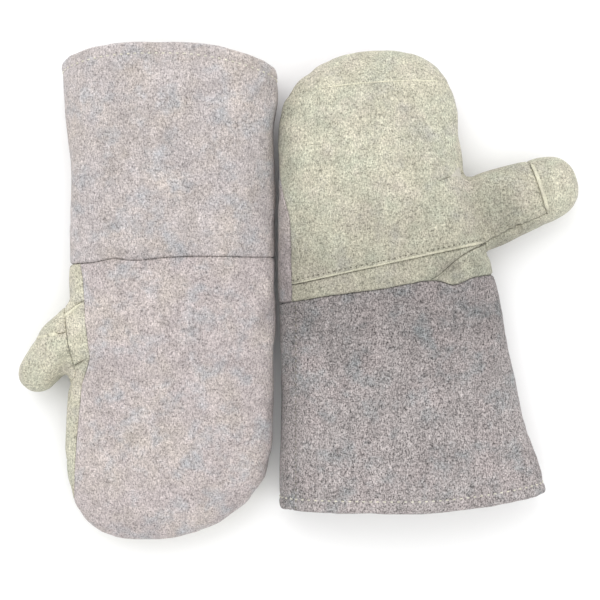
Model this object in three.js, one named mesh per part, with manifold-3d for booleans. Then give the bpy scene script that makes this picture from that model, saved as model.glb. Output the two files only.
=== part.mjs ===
// A pair of long, padded, heat resistant mitts lying side by side on a flat surface.
// Millimetres, +Z up. The origin is on the surface, under the middle of the pair.
// The right mitt lies palm up with its fingers along +Y. The left mitt is drawn the same way
// round, lies palm down, and is turned half a turn about Z, so its fingers point along -Y.
// Every wall is built from the outside in: canvas, batting and lining, each cut at its seams.
import * as THREE from 'three';
import { mergeVertices } from 'three/addons/utils/BufferGeometryUtils.js';
import Module from 'manifold-3d';

const wasm = await Module();
wasm.setup();

// Wall build-up. The gap keeps layers and neighbouring panels apart.
const GAP = 0.3;
const CANVAS = 1.6;
const BATTING = 4.5;
const LINING = 1.3;
const BATTING_DEPTH = CANVAS + GAP;
const LINING_DEPTH = BATTING_DEPTH + BATTING + GAP;
const BATTING_SETBACK = 2;
const LINING_SETBACK = 1;

// Raised trim
const WELT_WIDTH = 5;
const WELT_HEIGHT = 2;
const THREAD_WIDTH = 1.4;
const THREAD_HEIGHT = 1;
const HEM_DEPTH = 10;

// How far one panel wraps past the edge of the mitt on to the other face
const BACK_WRAP = 10;
const PALM_WRAP = 12;
const GUSSET_WRAP = 8;

// Clearances where one part turns in or against another
const CUFF_SLIT = 0.5;
const WRIST_GAP = 1;
const SOCKET_GAP = 0.7;

// Cross-sections: the widest line is this share of the height up, and the underside is pressed flat
const WIDEST_SHARE = 0.44;
const CROWN_POWER = 0.8;
const SIDE_POWER = 0.8;
const UNDERSIDE_POWER = 0.6;
const UNDERSIDE_PRESS = 1.06;
const TIP_ROUNDNESS = 2.3;
const TIP_ANGLES = [20, 38, 54, 68, 80, 90];
const THUMB_TIP_ANGLES = [30, 52, 72, 90];

// The thumb starts inside the hand, this share of its socket back, and this much narrower
const ROOT_BURIAL = 0.85;
const ROOT_TAPER = 0.7;

// The thumb is widest this share of its socket out, and its tip starts to round off this many
// half widths short of its end. Its middle line leans a little off straight by its tip.
const FULL_WIDTH_SHARE = 1 / 3;
const TIP_LENGTH = 1.1;

const SIDES = 20;
const THUMB_SIDES = 12;
const SOCKET_SIDES = 24;
const HEM_POINTS = 11;

// Larger than the pair in every direction, for cutting tools
const FAR = 400;
const WELD_DISTANCE = 1e-4;
const MOUTH_EXTENSION = 30;

// Stations run from the cuff mouth to the knuckles. Each has the x of its little-finger and thumb
// edges, and the heights of its top and underside above the surface.
// Seams give y at the little-finger edge and y at the thumb edge of the thumb station.
const CUFF_STATION = 1;
const HAND_STATION = 3;
const THUMB_STATION = 4;

const RIGHT_MITT = {
  name: 'right',
  palmUp: true,
  turn: 0,
  stations: [
    { y: -171, inner: -15.5, outer: 189, top: 58, rest: 2.5 },
    { y: -117, inner: -15.5, outer: 178, top: 57, rest: 0 },
    { y: -62, inner: -15.5, outer: 165, top: 54, rest: 0 },
    { y: -8, inner: -15.5, outer: 153, top: 52, rest: 2 },
    { y: 25, inner: -16, outer: 145, top: 57, rest: 2 },
    { y: 57, inner: -16, outer: 135, top: 63, rest: 0 },
    { y: 90, inner: -16, outer: 126, top: 64, rest: 0 },
    { y: 121, inner: -15.5, outer: 120, top: 60, rest: 0 },
  ],
  tip: 183,
  tipDrift: 9,
  hemRise: { littleFinger: 2, thumb: 16, corner: 2 },
  wristSeam: [-10, 12],
  heelSeam: [2, 37],
  capSeam: [147, 157],
  thumb: {
    x: 130.5, y: 57, angle: 18, reach: 86, seam: 55,
    root: 29.5, tip: 24.5, lean: 2.5, top: 42, rest: 3, socket: 36,
  },
};

const LEFT_MITT = {
  name: 'left',
  palmUp: false,
  turn: Math.PI,
  stations: [
    { y: -190, inner: 17, outer: 181, top: 72, rest: 2.5 },
    { y: -139, inner: 17.5, outer: 178, top: 68, rest: 0 },
    { y: -90, inner: 18.5, outer: 176, top: 60, rest: 0 },
    { y: -24, inner: 18.5, outer: 175, top: 50, rest: 3.5 },
    { y: 14, inner: 18.5, outer: 176, top: 52, rest: 3.5 },
    { y: 50, inner: 18.5, outer: 175, top: 52, rest: 0 },
    { y: 85, inner: 18.5, outer: 177, top: 50, rest: 0 },
    { y: 117, inner: 20, outer: 179, top: 47, rest: 0 },
  ],
  tip: 190,
  tipDrift: 18,
  hemRise: { littleFinger: 17, thumb: 16, corner: 3 },
  wristSeam: [-25, -20],
  heelSeam: [-12, 9],
  capSeam: [124, 130],
  thumb: {
    x: 176, y: 32, angle: 55, reach: 53, seam: 26,
    root: 18.5, tip: 14.5, lean: -3, top: 40, rest: 2.5, socket: 31,
  },
};

const CANVAS_GREY = new THREE.MeshStandardMaterial({ color: 0xc9c1c0, roughness: 0.95, metalness: 0 });
const CANVAS_OLIVE = new THREE.MeshStandardMaterial({ color: 0xd0cbb5, roughness: 0.95, metalness: 0 });
const COTTON_CREAM = new THREE.MeshStandardMaterial({ color: 0xe4dfcc, roughness: 0.9, metalness: 0 });
const WADDING = new THREE.MeshStandardMaterial({ color: 0xe9e6de, roughness: 1, metalness: 0 });

// Three.js shapes to solids and back

function toSolid(geometry) {
  geometry.deleteAttribute('normal');
  geometry.deleteAttribute('uv');
  const merged = mergeVertices(geometry, WELD_DISTANCE);
  return new wasm.Manifold(new wasm.Mesh({
    numProp: 3,
    vertProperties: new Float32Array(merged.attributes.position.array),
    triVerts: new Uint32Array(merged.index.array),
  }));
}

function toGeometry(solid) {
  const { vertProperties, triVerts } = solid.getMesh();
  const geometry = new THREE.BufferGeometry();
  geometry.setAttribute('position', new THREE.BufferAttribute(vertProperties, 3));
  geometry.setIndex(new THREE.BufferAttribute(triVerts, 1));
  geometry.computeVertexNormals();
  return geometry;
}

// An upright prism over the area between two lines of [x, y] points that run the same way
function prism(nearLine, farLine, bottom, top) {
  const outline = [...nearLine, ...farLine.slice().reverse()];
  const shape = new THREE.Shape(outline.map(([x, y]) => new THREE.Vector2(x, y)));
  const geometry = new THREE.ExtrudeGeometry(shape, { depth: top - bottom, bevelEnabled: false });
  geometry.translate(0, 0, bottom);
  return toSolid(geometry);
}

// A tapering tube with one round closed end. Each ring says where it is and how large it is.
function sleeve(rings, sides, pointOnRing) {
  const geometry = new THREE.CylinderGeometry(0, 1, 1, sides, rings.length - 1);
  const position = geometry.attributes.position;
  const corner = new THREE.Vector3();
  for (let i = 0; i < position.count; i += 1) {
    corner.fromBufferAttribute(position, i);
    const level = Math.round((corner.y + 0.5) * (rings.length - 1));
    const spread = level === 0 ? Math.hypot(corner.x, corner.z) : 1;
    const angle = Math.atan2(corner.z, corner.x) + Math.PI / sides;
    const { x, y, z } = pointOnRing(rings[level], angle, spread);
    position.setXYZ(i, x, y, z);
  }
  return toSolid(geometry);
}

function signedPower(value, power) {
  return Math.sign(value) * Math.abs(value) ** power;
}

// Height of a cross-section at an angle: crowned above its widest line, pressed flat below
function sectionHeight(ring, angle) {
  const sine = Math.sin(angle);
  if (sine >= 0) {
    return ring.widest + (ring.top - ring.widest) * sine ** CROWN_POWER;
  }
  const drop = Math.min(1, UNDERSIDE_PRESS * Math.abs(sine) ** UNDERSIDE_POWER);
  return ring.widest - (ring.widest - ring.bottom) * drop;
}

// A share of full size that rounds off a closed end, from 1 at its start to 0 at its tip
function roundOff(degrees) {
  const along = Math.sin(THREE.MathUtils.degToRad(degrees));
  return { along, share: Math.max(0, 1 - along ** TIP_ROUNDNESS) ** (1 / TIP_ROUNDNESS) };
}

// The hand and cuff of a mitt, as rings from the cuff mouth to the fingertips

function handRings(mitt, depth) {
  const rings = mitt.stations.map(({ y, inner, outer, top, rest }) => ({
    y,
    rise: 0,
    x: (inner + outer) / 2,
    half: (outer - inner) / 2 - depth,
    top: top - depth,
    bottom: rest + depth,
    widest: rest + (top - rest) * WIDEST_SHARE,
  }));
  rings[0].rise = 1;
  const knuckles = rings.at(-1);
  const reach = mitt.tip - knuckles.y - depth;
  TIP_ANGLES.forEach((degrees) => {
    const { along, share } = roundOff(degrees);
    rings.push({
      y: knuckles.y + reach * along,
      rise: 0,
      x: knuckles.x + mitt.tipDrift * along ** 2,
      half: knuckles.half * share,
      top: knuckles.widest + (knuckles.top - knuckles.widest) * share,
      bottom: knuckles.widest + (knuckles.bottom - knuckles.widest) * share,
      widest: knuckles.widest,
    });
  });
  return rings;
}

// The hem is not quite straight: it draws back towards both side folds. A higher corner power
// keeps it straight for longer and rounds it off faster near the thumb fold.
function hemRise(mitt, x) {
  const [{ inner, outer }] = mitt.stations;
  const fromMiddle = (2 * (x - inner)) / (outer - inner) - 1;
  const { littleFinger, thumb, corner } = mitt.hemRise;
  return fromMiddle < 0 ? littleFinger * fromMiddle ** 2 : thumb * fromMiddle ** corner;
}

function handVolume(mitt, depth, openMouth = false) {
  const rings = handRings(mitt, depth);
  if (openMouth) {
    rings.unshift({ ...rings[0], y: rings[0].y - MOUTH_EXTENSION });
  }
  return sleeve(rings, SIDES, (ring, angle, spread) => {
    const x = ring.x + spread * ring.half * signedPower(Math.cos(angle), SIDE_POWER);
    const z = ring.widest + spread * (sectionHeight(ring, angle) - ring.widest);
    return { x, y: ring.y + ring.rise * hemRise(mitt, x), z };
  });
}

// The thumb, as rings along its own line from inside the hand to its tip

function thumbRings({ reach, root, tip, top, rest, socket }, depth) {
  const shoulder = reach - tip * TIP_LENGTH;
  const fullWidth = socket * FULL_WIDTH_SHARE;
  const widest = rest + (top - rest) * WIDEST_SHARE;
  const ringAt = (along, half) => ({
    along,
    half: half - depth,
    top: top - depth,
    bottom: rest + depth,
    widest,
  });
  const rings = [
    ringAt(depth - socket * ROOT_BURIAL, root * ROOT_TAPER),
    ringAt(fullWidth, root),
    ringAt((shoulder + fullWidth) / 2, (root + tip) / 2),
    ringAt(shoulder, tip),
  ];
  THUMB_TIP_ANGLES.forEach((degrees) => {
    const { along, share } = roundOff(degrees);
    rings.push({
      along: shoulder + (reach - shoulder - depth) * along,
      half: (tip - depth) * share,
      top: widest + (top - depth - widest) * share,
      bottom: widest + (rest + depth - widest) * share,
      widest,
    });
  });
  return rings;
}

function thumbVolume({ thumb }, depth) {
  const direction = THREE.MathUtils.degToRad(thumb.angle);
  const cosine = Math.cos(direction);
  const sine = Math.sin(direction);
  return sleeve(thumbRings(thumb, depth), THUMB_SIDES, (ring, angle, spread) => {
    const middle = (thumb.lean * ring.along) / thumb.reach;
    const across = middle - spread * ring.half * signedPower(Math.cos(angle), SIDE_POWER);
    return {
      x: thumb.x + ring.along * cosine - across * sine,
      y: thumb.y + ring.along * sine + across * cosine,
      z: ring.widest + spread * (sectionHeight(ring, angle) - ring.widest),
    };
  });
}

// One layer of the whole mitt wall, between two depths below the outer face
function wallLayer(mitt, outerDepth, thickness) {
  const innerDepth = outerDepth + thickness;
  const outside = handVolume(mitt, outerDepth).add(thumbVolume(mitt, outerDepth));
  const inside = handVolume(mitt, innerDepth, true).add(thumbVolume(mitt, innerDepth));
  return outside.subtract(inside);
}

// Cutting tools

function seamLine(mitt, [atLittleFinger, atThumb], shift = 0) {
  const { inner, outer } = mitt.stations[THUMB_STATION];
  const slope = (atThumb - atLittleFinger) / (outer - inner);
  return [-FAR, FAR].map((x) => [x, atLittleFinger + slope * (x - inner) + shift]);
}

function hemLine(mitt, shift) {
  const [{ y: mouth, inner, outer }] = mitt.stations;
  return Array.from({ length: HEM_POINTS }, (_, i) => {
    const x = THREE.MathUtils.lerp(inner - HEM_DEPTH, outer + HEM_DEPTH, i / (HEM_POINTS - 1));
    return [x, mouth + hemRise(mitt, x) + shift];
  });
}

function between(nearLine, farLine) {
  return prism(nearLine, farLine, -FAR, FAR);
}

const BEYOND_CUFF = [[-FAR, -FAR], [FAR, -FAR]];
const BEYOND_TIP = [[-FAR, FAR], [FAR, FAR]];

// Everything that turns with the thumb: a round socket at its root and the way out along it
function thumbZone({ thumb }, grow) {
  const radius = thumb.socket + grow;
  const socket = new THREE.CylinderGeometry(radius, radius, 2 * FAR, SOCKET_SIDES);
  socket.rotateX(Math.PI / 2);
  const way = new THREE.BoxGeometry(2 * thumb.reach, 2 * (thumb.root + GAP + grow), 2 * FAR);
  way.translate(thumb.reach, 0, 0);
  way.rotateZ(THREE.MathUtils.degToRad(thumb.angle));
  const zone = toSolid(socket).add(toSolid(way));
  return zone.translate([thumb.x, thumb.y, 0]);
}

// The height band on the palm side of the middle of a section
function palmBand(mitt, middle, grow) {
  return mitt.palmUp ? [middle - grow, FAR] : [-FAR, middle + grow];
}

// The palm panels cover the palm face short of the little-finger edge, and wrap past the thumb edge
function palmZone(mitt, grow) {
  const middle = mitt.stations.at(-1).top * WIDEST_SHARE;
  const inner = mitt.stations[THUMB_STATION].inner + BACK_WRAP - grow;
  const farSide = [[FAR, -FAR], [FAR, FAR]];
  const face = prism([[inner, -FAR], [inner, FAR]], farSide, ...palmBand(mitt, middle, grow));
  const hand = mitt.stations.slice(HAND_STATION);
  const edge = hand.map(({ y, outer }) => [outer - PALM_WRAP - grow, y]);
  const [wrist] = edge;
  const wrapLine = [[wrist[0], -FAR], ...edge, [edge.at(-1)[0] - PALM_WRAP, FAR]];
  return face.add(prism(wrapLine, farSide, -FAR, FAR));
}

// Moves a tool drawn along +X from the origin on to the thumb's own line
function placedOnThumb(thumb, tool) {
  return tool.rotate([0, 0, thumb.angle]).translate([thumb.x, thumb.y, 0]);
}

// The thumb's palm panel stops short of its lower edge, where the gusset wraps round
function thumbPalmZone(mitt, grow) {
  const { thumb } = mitt;
  const middle = thumb.rest + (thumb.top - thumb.rest) * WIDEST_SHARE;
  const edge = -thumb.root + GUSSET_WRAP - grow;
  const [bottom, top] = palmBand(mitt, middle, grow);
  const line = (across) => [[-FAR, across], [FAR, across]];
  return placedOnThumb(thumb, prism(line(edge), line(FAR), bottom, top));
}

// A slab across the thumb, between two distances along it
function thumbSlab({ thumb }, from, to) {
  return placedOnThumb(thumb, prism([[from, -FAR], [from, FAR]], [[to, -FAR], [to, FAR]], -FAR, FAR));
}

// The long cuff seam lies on the palm face, just inside the little-finger edge
function cuffSlit(mitt) {
  const { inner, top } = mitt.stations[CUFF_STATION];
  const near = inner + BACK_WRAP;
  const far = near + CUFF_SLIT;
  const palm = palmBand(mitt, top * WIDEST_SHARE, 0);
  return prism([[near, -FAR], [near, FAR]], [[far, -FAR], [far, FAR]], ...palm);
}

// The pieces

function canvasPieces(mitt, zones) {
  const half = GAP / 2;
  const canvas = wallLayer(mitt, 0, CANVAS);
  const hand = canvas.subtract(zones.cuffSide).subtract(zones.thumbGrown);
  const palm = hand.intersect(palmZone(mitt, 0));
  const thumb = canvas.intersect(zones.thumb);
  const thumbBody = thumb.intersect(thumbSlab(mitt, -FAR, mitt.thumb.seam - half));
  const thumbTip = thumb.intersect(thumbSlab(mitt, mitt.thumb.seam + half, FAR));
  const heel = between(BEYOND_CUFF, seamLine(mitt, mitt.heelSeam, -half));
  const middle = between(seamLine(mitt, mitt.heelSeam, half), seamLine(mitt, mitt.capSeam, -half));
  const tip = between(seamLine(mitt, mitt.capSeam, half), BEYOND_TIP);
  return [
    ['palm_panel', palm.intersect(middle), CANVAS_OLIVE],
    ['fingertip_cap', palm.intersect(tip), CANVAS_OLIVE],
    ['heel_band', palm.intersect(heel), CANVAS_OLIVE],
    ['back_panel', hand.subtract(palmZone(mitt, GAP)), CANVAS_GREY],
    ['thumb_palm_panel', thumbBody.intersect(thumbPalmZone(mitt, 0)), CANVAS_OLIVE],
    ['thumb_gusset', thumbBody.subtract(thumbPalmZone(mitt, GAP)), CANVAS_OLIVE],
    ['thumb_tip_cap', thumbTip, CANVAS_OLIVE],
    ['cuff_shell', canvas.intersect(zones.cuff).subtract(cuffSlit(mitt)), CANVAS_GREY],
  ];
}

// Trim is raised off the outer face of the canvas
function raised(volume, mitt, height) {
  return volume(mitt, -GAP - height).subtract(volume(mitt, -GAP));
}

function trimPieces(mitt, zones) {
  const { seam } = mitt.thumb;
  const welt = [-WELT_WIDTH / 2, WELT_WIDTH / 2];
  const thread = [-THREAD_WIDTH / 2, THREAD_WIDTH / 2];
  const heel = welt.map((shift) => seamLine(mitt, mitt.heelSeam, shift));
  const hem = thread.map((shift) => hemLine(mitt, HEM_DEPTH + shift));
  const tip = thumbSlab(mitt, ...welt.map((shift) => seam + shift));
  const heelStrip = between(...heel).intersect(palmZone(mitt, 0)).subtract(zones.thumbGrown);
  const thumbStrip = tip.intersect(thumbPalmZone(mitt, 0));
  return [
    ['heel_welt', raised(handVolume, mitt, WELT_HEIGHT).intersect(heelStrip), COTTON_CREAM],
    ['thumb_welt', raised(thumbVolume, mitt, WELT_HEIGHT).intersect(thumbStrip), COTTON_CREAM],
    ['hem_thread', raised(handVolume, mitt, THREAD_HEIGHT).intersect(between(...hem)), COTTON_CREAM],
  ];
}

// The inner layers stop short of the hem
function hemCut(mitt, setback) {
  return between(BEYOND_CUFF, hemLine(mitt, setback));
}

function innerPieces(mitt, zones) {
  const layers = [
    ['batting', wallLayer(mitt, BATTING_DEPTH, BATTING), BATTING_SETBACK, WADDING],
    ['lining', wallLayer(mitt, LINING_DEPTH, LINING), LINING_SETBACK, COTTON_CREAM],
  ];
  return layers.flatMap(([name, layer, setback, material]) => [
    [`hand_${name}`, layer.subtract(zones.cuffSide).subtract(zones.thumbGrown), material],
    [`thumb_${name}`, layer.intersect(zones.thumb), material],
    [`cuff_${name}`, layer.intersect(zones.cuff).subtract(hemCut(mitt, setback)), material],
  ]);
}

function makeMitt(mitt) {
  const zones = {
    thumb: thumbZone(mitt, 0),
    thumbGrown: thumbZone(mitt, SOCKET_GAP),
    cuff: between(BEYOND_CUFF, seamLine(mitt, mitt.wristSeam, -WRIST_GAP / 2)),
    cuffSide: between(BEYOND_CUFF, seamLine(mitt, mitt.wristSeam, WRIST_GAP / 2)),
  };
  const group = new THREE.Group();
  group.rotation.z = mitt.turn;
  const pieces = [...canvasPieces(mitt, zones), ...trimPieces(mitt, zones), ...innerPieces(mitt, zones)];
  pieces.forEach(([name, solid, material]) => {
    const mesh = new THREE.Mesh(toGeometry(solid), material);
    mesh.name = `${mitt.name}_${name}`;
    group.add(mesh);
  });
  return group;
}

const pair = new THREE.Group();
pair.add(makeMitt(RIGHT_MITT), makeMitt(LEFT_MITT));

export default pair;
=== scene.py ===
"""A pair of padded, heat resistant mitts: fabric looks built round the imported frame.

Metres, +Z up. Each mitt is worked in its own plan: +Y from the cuff to the fingertips and +X from
the little-finger edge to the thumb. The left mitt's plan is the frame turned half a turn.
"""

import math

import bmesh
import bpy
import numpy as np
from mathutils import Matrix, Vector, noise
from mathutils.bvhtree import BVHTree
from mathutils.kdtree import KDTree


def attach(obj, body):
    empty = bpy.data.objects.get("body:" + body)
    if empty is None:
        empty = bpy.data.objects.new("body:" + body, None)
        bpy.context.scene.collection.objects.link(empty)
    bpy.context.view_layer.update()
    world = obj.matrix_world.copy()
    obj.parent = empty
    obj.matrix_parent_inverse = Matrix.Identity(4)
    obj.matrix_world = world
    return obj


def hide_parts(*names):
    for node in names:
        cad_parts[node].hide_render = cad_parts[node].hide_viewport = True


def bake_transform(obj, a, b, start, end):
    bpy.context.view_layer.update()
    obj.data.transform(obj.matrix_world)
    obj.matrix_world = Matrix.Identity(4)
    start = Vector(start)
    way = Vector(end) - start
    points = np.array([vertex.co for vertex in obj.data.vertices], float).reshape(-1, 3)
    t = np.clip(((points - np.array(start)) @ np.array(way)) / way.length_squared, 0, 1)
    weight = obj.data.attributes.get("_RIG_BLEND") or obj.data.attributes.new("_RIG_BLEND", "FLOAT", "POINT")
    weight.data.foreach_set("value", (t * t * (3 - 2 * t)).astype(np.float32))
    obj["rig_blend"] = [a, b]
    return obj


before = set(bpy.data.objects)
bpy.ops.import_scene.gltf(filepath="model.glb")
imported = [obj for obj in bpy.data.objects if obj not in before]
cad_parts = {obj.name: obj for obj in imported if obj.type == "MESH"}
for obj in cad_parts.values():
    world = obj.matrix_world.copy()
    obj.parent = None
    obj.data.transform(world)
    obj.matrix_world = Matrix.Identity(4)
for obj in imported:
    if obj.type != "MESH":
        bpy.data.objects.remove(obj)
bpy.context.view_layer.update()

SEED = 7

# Wall: the CAD layers of a mitt are merged, smoothed, puffed by a cloth simulation and refined
LAYER_GROWTH = 0.0007
VOXEL = 0.0036
SMOOTH_ROUNDS = 40
SMOOTH_IN, SMOOTH_OUT = 0.5, -0.52
PUFF_FRAMES = 20
PUFF_LIMIT = 0.0024
PIN_REACH = 0.004
CLOTH = {
    "quality": 4,
    "mass": 0.3,
    "tension_stiffness": 15,
    "compression_stiffness": 15,
    "bending_stiffness": 6,
    "use_pressure": True,
    "uniform_pressure_force": 4.0,
    "shrink_min": -0.015,
}
REST_HEIGHT = 0.0004

# Fabric pieces
CANVAS = 0.0013
LINER = 0.0045
HEM_TURN = 0.010
HEEL_TURN = (-0.016, 0.004)
SLANT_REACH = 0.010
SEAM_DEPTH = 0.0018
SEAM_WIDTH = 0.0016
SEAM_LOOPS = (0.0, 0.0005, -0.0005, 0.0014, -0.0014, 0.0030, -0.0030)
SEAM_BAND = 0.007
SEAM_SAMPLE = 0.0004
SNAP = 0.00012
HIGH = 0.2
DOWN = Vector((0, 0, -1))
WIDEST_SHARE = 0.44
STRIP_DROP = 0.010
FAR = 1.0
TRIM = ("welt", "thread")
WRIST_REACH = 0.046

# The hem's curve is flattened for meshing over this height, in a few rounds that settle
HEM_REACH = 0.080
HEM_ROUNDS = 8

# Unevenness of the fabric: height and size of each noise, widest first
SWELLS = ((0.0011, 0.055), (0.0005, 0.021), (0.00012, 0.006))
PUCKER_HEIGHT, PUCKER_SIZE, PUCKER_REACH = 0.0005, 0.007, 0.005
WANDER_HEIGHT, WANDER_SIZE, WANDER_SLANT = 0.0016, 0.012, 0.25
HEM_GROOVE, HEM_GROOVE_WIDTH, HEM_FOLD, HEM_FOLD_EASE = 0.0006, 0.0016, 0.0003, 0.003
LIP_EASE = 0.0008
SOFT_DEPTH, SOFT_WIDTH = 0.0005, 0.004
DEPTH_CHANGE, DEPTH_CHANGE_SIZE = 0.25, 0.015

# How deep each seam is pulled in, by the pieces it joins: lapped and pressed seams are shallow
SEAM_STRENGTH = {
    frozenset(("palm_panel", "fingertip_cap")): 0.22,
    frozenset(("back_panel", "palm_panel")): 0.45,
    frozenset(("back_panel", "fingertip_cap")): 0.35,
    frozenset(("back_panel", "heel_band")): 0.45,
    frozenset(("back_panel", "heel_gusset")): 0.5,
    frozenset(("palm_panel", "heel_band")): 0.8,
    frozenset(("palm_panel", "thumb_tip_cap")): 0.75,
    frozenset(("heel_band", "heel_gusset")): 0.9,
}
SLIT_STRENGTH = 0.6
LIP_HEIGHT = 0.0007

# Trim: how far past the heel seam the palm's folded edge and its row of stitches are, and how
# far past the thumb seam its fold is
HEEL_EDGE = 0.0008
HEEL_ROW = 0.0032
WELT_LEAD = 0.0011

# A stitch leans a little, in turns; a fold is narrower at its ends and a little uneven
STITCH_CORNERS = 6
STITCH_RINGS = (-1.0, -0.85, -0.4, 0.0, 0.4, 0.85, 1.0)
STITCH_LEAN, STITCH_LEAN_STEP, STITCH_SAG = 0.12, 1.7, 0.9
RIBBON_CORNERS = 12
RIBBON_PITCH = 0.0015
RIBBON_END = 0.25
RIBBON_WOBBLE, RIBBON_WOBBLE_SIZE = 0.12, 0.006
GUSSET_START = 0.04
PATH_POINTS = {"heel": 120, "heel_back": 40, "thumb": 80, "dart": 60, "gusset": 60, "cap": 100}
HEM_POINTS, SLIT_POINTS = 400, 200

# Points round a cuff are found from this height in its middle, a few times over as x settles
CUFF_MIDDLE = 0.025
ROUND_TRIES = 3

# A fold or cord has its widths at both ends, its height, and how far its ends taper if not 6 mm
# The cream of the heel and thumb piping is partly the raw edge's own colour, partly a painted highlight
# along the fold
HEEL_PIPING = ((0.0013, 0.0026), 0.0009)
HEEL_PIPING_BACK = ((0.0022, 0.0026), 0.0012)
THUMB_PIPING = ((0.0024, 0.0030), 0.0022, 0.003)
# Painted shadow: the dart's and gusset's threads are dark lines laid in the seams' grooves, where their
# shade falls
DART_SHADOW_THREAD = ((0.0009, 0.0004), 0.0003)
GUSSET_SHADOW_THREAD = ((0.0006, 0.0011), 0.0004)
CAP_CORD = ((0.0012, 0.0012), 0.0005, 0.020)

# A row of stitches has its pitch, and the length, radius and lift of each stitch
HEEL_STITCHES = (0.0042, 0.0017, 0.0005, 0.0002)
HEM_STITCHES = (0.0052, 0.0026, 0.0006, 0.0002)
SLIT_STITCHES = (0.0045, 0.0028, 0.0004, 0.0)
SLIT_STITCHES_ASIDE, SLIT_PAST_HEM, SLIT_SHORT_OF_WRIST = 0.0028, 0.008, 0.004

# Studio: a lamp has its place, its size and its power
WORLD_STRENGTH = 1.12
KEY_LAMP = ((-0.5, 1.3, 1.6), 1.8, 15.5)
FILL_LAMP = ((0.9, -0.9, 1.6), 1.6, 5.4)
FLOOR_SIZE = 3.0
PAPER = (0.92, 0.92, 0.92, 1)
CAMERA_X, CAMERA_Y, CAMERA_HEIGHT = 0.0004, -0.0072, 1.18
CAMERA_LENS = 90.4


def gauss(value, middle, width):
    return np.exp(-(((value - middle) / width) ** 2))


def ease(value, start, end):
    t = np.clip((value - start) / (end - start), 0, 1)
    return t * t * (3 - 2 * t)


class Mitt:
    """The plan of one mitt. Each seam is given by its height up the plan at the two side edges."""

    def __init__(self, name, sign, palm_up, **plan):
        self.name, self.sign, self.palm_up = name, sign, palm_up
        self.hand, self.cuff, self.thumb = f"{name}_hand", f"{name}_cuff", f"{name}_thumb"
        self.__dict__.update(plan)

    def local(self, points):
        return points * np.array([self.sign, self.sign, 1.0])

    def straight(self, ends, x):
        near, far = self.edges
        return ends[0] + (ends[1] - ends[0]) * (x - near) / (far - near)

    def share(self, x):
        near, far = self.edges
        return np.clip((x - near) / (far - near), 0, 1)

    def wrist_height(self, x):
        """The wrist seam wanders a little, and dips where the heel gusset ends in it."""
        wave = sum(depth * gauss(x, middle, width) for middle, width, depth in self.wrist_waves)
        return self.straight(self.wrist, x) + wave

    def heel_height(self, x):
        """The heel seam turns up a little where it wraps round the thumb edge."""
        start, end = (self.edges[1] + past for past in HEEL_TURN)
        return self.straight(self.heel, x) + self.heel_turn_up * ease(x, start, end)

    def cap_height(self, x):
        return self.straight(self.cap, x) + self.cap_arch * 4 * self.share(x) * (1 - self.share(x))

    def curve_over_mouth(self, x, low, rise_near, rise_far, corner):
        """A curve that draws back towards both side folds, later with a higher corner power."""
        near, far = self.mouth
        middle = np.abs(2 * (x - near) / (far - near) - 1)
        on_near = x < (near + far) / 2
        return low + np.where(on_near, rise_near * middle**2, rise_far * middle**corner)

    def mouth_height(self, x):
        """The hem of the looks, a little flatter than the solids' one."""
        return self.curve_over_mouth(x, *self.hem)

    def solid_mouth_height(self, x):
        return self.curve_over_mouth(x, *self.solid_hem)

    def on_thumb(self, p):
        """Distances along and across the thumb's own line, from its pivot."""
        (x, y), turn = self.pivot, math.radians(self.thumb_angle)
        dx, dy = p[:, 0] - x, p[:, 1] - y
        along = dx * math.cos(turn) + dy * math.sin(turn)
        return along, dy * math.cos(turn) - dx * math.sin(turn)

    def off_thumb(self, along, across):
        """The plan point at those distances on the thumb."""
        (x, y), turn = self.pivot, math.radians(self.thumb_angle)
        return (
            x + along * math.cos(turn) - across * math.sin(turn),
            y + along * math.sin(turn) + across * math.cos(turn),
        )

    def gusset_line(self, count):
        """Plan points along the bowed seam between the heel band and the heel gusset."""
        (x0, y0), (x1, y1) = self.gusset_seam
        run, rise = x1 - x0, y1 - y0
        t = np.linspace(GUSSET_START, 1, count)
        bow = self.gusset_bow * np.sin(math.pi * t) / math.hypot(run, rise)
        return np.stack([x0 + t * run - bow * rise, y0 + t * rise + bow * run], axis=1)

    def to_frame(self, x, y, z=0.0):
        return Vector((self.sign * x, self.sign * y, z))


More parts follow.
